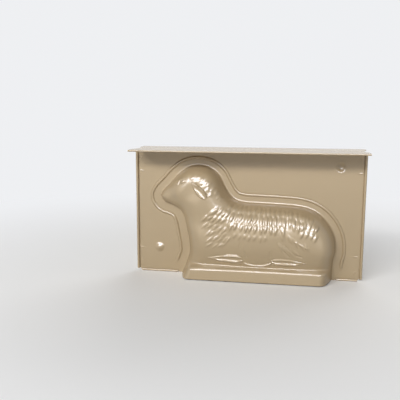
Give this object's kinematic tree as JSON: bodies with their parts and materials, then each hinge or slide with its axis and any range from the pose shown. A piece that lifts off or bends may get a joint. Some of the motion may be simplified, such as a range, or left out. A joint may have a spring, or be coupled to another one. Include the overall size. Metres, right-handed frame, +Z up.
{
  "type": "lamb cake baking tin",
  "caption": "Split baking mould of thin sheet steel, pressed as a lying lamb on a plinth, with flanges it stands on when turned over and side lips that keep its halves in line.",
  "frame": {"origin": "middle of the closed tin's bottom, on the closing plane of the two halves, level with the open mouth of the plinth", "axes": "+X along the lamb from its nose to its rump, +Y through the closing plane towards the rear half, +Z up from the open mouth to the flanges"},
  "size_m": [0.27, 0.07, 0.1515],
  "materials": {
    "front_coating": "satin metallic non-stick coating",
    "rear_coating": "satin metallic non-stick coating"
  },
  "bodies": {
    "rear": {"rear_half": "rear_coating"},
    "front": {"front_half": "front_coating"}
  },
  "joints": [
    {"name": "front_half_pull", "type": "slide", "parent": "rear", "child": "front", "axis": [0, -1, 0], "range_m": [0, 0.12]}
  ]
}
